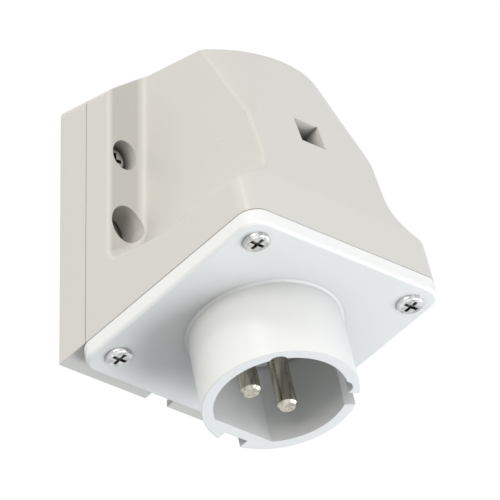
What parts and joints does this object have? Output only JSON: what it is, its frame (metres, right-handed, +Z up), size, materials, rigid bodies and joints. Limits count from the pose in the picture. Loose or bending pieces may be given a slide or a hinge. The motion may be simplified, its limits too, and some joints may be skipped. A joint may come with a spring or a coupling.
{
  "type": "surface-mount appliance inlet",
  "caption": "Wall-mounted low-voltage appliance inlet: sloping hood on a back shell, downward collar with keyways round its contact pins, grommet on top.",
  "frame": {"origin": "on the wall plane, midway between the two wall-fixing holes", "axes": "+Z up the wall, -Y out from the wall towards the viewer, +X to the right seen from the front"},
  "size_m": [0.075, 0.0821, 0.1146],
  "materials": {
    "housing_plastic": "satin, fine moulded grain",
    "carrier_plastic": "satin",
    "seal_rubber": "matt",
    "grommet_rubber": "matt",
    "nickel_contact": "nickel-plated brass",
    "zinc_screw": "bright zinc plate"
  },
  "bodies": {
    "root": {"back_shell": "housing_plastic", "carrier_cover": "carrier_plastic", "carrier_screw_left": "zinc_screw", "carrier_screw_right": "zinc_screw", "contact_carrier": "carrier_plastic", "contact_pin_left": "nickel_contact", "contact_pin_right": "nickel_contact", "cover_screw": "zinc_screw", "entry_grommet": "grommet_rubber", "flange_screw_front_left": "zinc_screw", "flange_screw_front_right": "zinc_screw", "flange_screw_rear_left": "zinc_screw", "flange_screw_rear_right": "zinc_screw", "flange_seal": "seal_rubber", "hood": "housing_plastic", "hood_screw_left": "zinc_screw", "hood_screw_right": "zinc_screw", "inlet_body": "housing_plastic", "shell_seal": "seal_rubber", "terminal_screw_left": "zinc_screw", "terminal_screw_right": "zinc_screw"}
  },
  "joints": []
}
